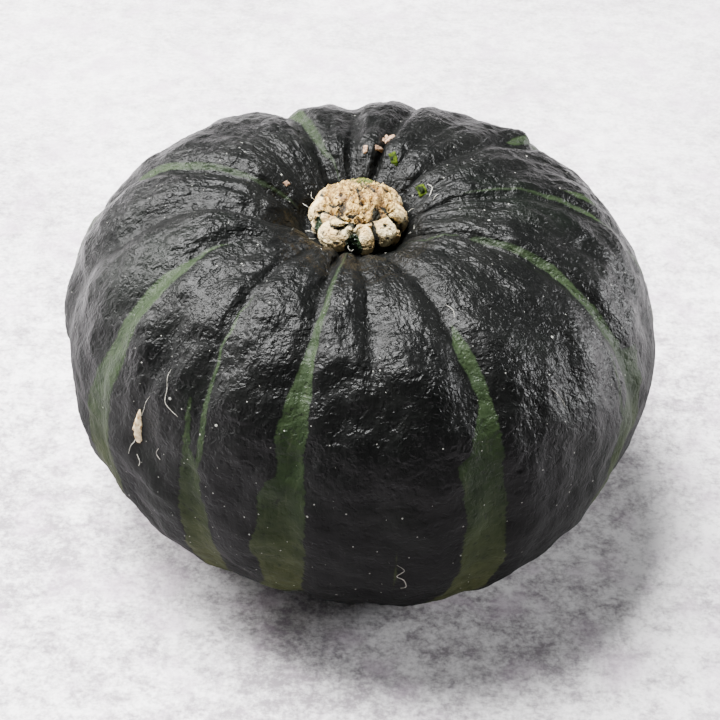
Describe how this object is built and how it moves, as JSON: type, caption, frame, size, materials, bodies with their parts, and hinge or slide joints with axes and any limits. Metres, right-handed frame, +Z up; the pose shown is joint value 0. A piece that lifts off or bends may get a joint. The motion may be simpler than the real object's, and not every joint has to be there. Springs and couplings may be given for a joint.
{
  "type": "kabocha squash",
  "caption": "Round, flattened ribbed squash with a dark green striped rind and a short corky stem stub set in its top hollow.",
  "frame": {"origin": "on the ground under the middle of the fruit, at the flat of its blossom end", "axes": "+Z up through the stem, -Y towards the side with the two broad stripes, +X to its right"},
  "size_m": [0.181, 0.1804, 0.1151],
  "materials": {
    "rind": "satin, dark green with paler green stripes in the furrows",
    "cork": "matt, rough tan cork"
  },
  "bodies": {
    "root": {"squash_body": "rind", "stem": "cork"}
  },
  "joints": []
}
